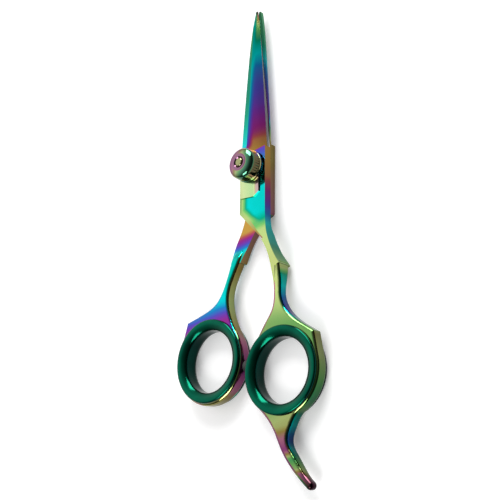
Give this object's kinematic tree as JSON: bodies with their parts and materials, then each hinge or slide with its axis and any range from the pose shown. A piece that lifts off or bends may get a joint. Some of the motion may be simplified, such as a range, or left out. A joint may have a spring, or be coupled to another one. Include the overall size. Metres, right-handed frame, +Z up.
{
  "type": "thinning shears",
  "caption": "Closed thinning shears: plain blade over a comb blade, two finger rings with snap-in inserts, hooked finger rest and a knurled tension knob.",
  "frame": {"origin": "on the pivot axis, at the back of the pivot screw's head, where the shears lie on a table", "axes": "+X to the finger-ring side, +Y along the closed blades to the tips, +Z up through the tension knob"},
  "size_m": [0.0578, 0.1614, 0.0122],
  "materials": {
    "coated_steel": "mirror polished, rainbow titanium coating",
    "insert": "glossy dark green",
    "bumper": "matte",
    "bronze": "machined",
    "nylon": "matte",
    "steel": "bright"
  },
  "bodies": {
    "finger_side": {"finger_half": "coated_steel", "finger_insert": "insert", "bumper": "bumper", "pivot_bushing": "bronze", "tension_plate": "coated_steel", "slip_washer": "nylon"},
    "thumb_side": {"thumb_half": "coated_steel", "thumb_insert": "insert", "pivot_post": "coated_steel", "ride_washer": "bronze", "click_plate": "coated_steel"},
    "knob": {"tension_knob": "coated_steel", "detent_balls": "steel", "detent_springs": "steel"}
  },
  "joints": [
    {"name": "blade_pivot", "type": "hinge", "parent": "finger_side", "child": "thumb_side", "pos_m": [0, 0, 0.0033], "axis": [0, 0, -1], "range_deg": [0, 60]},
    {"name": "tension_dial", "type": "hinge", "parent": "thumb_side", "child": "knob", "pos_m": [0, 0, 0.0079], "axis": [0, 0, 1], "continuous": true}
  ]
}
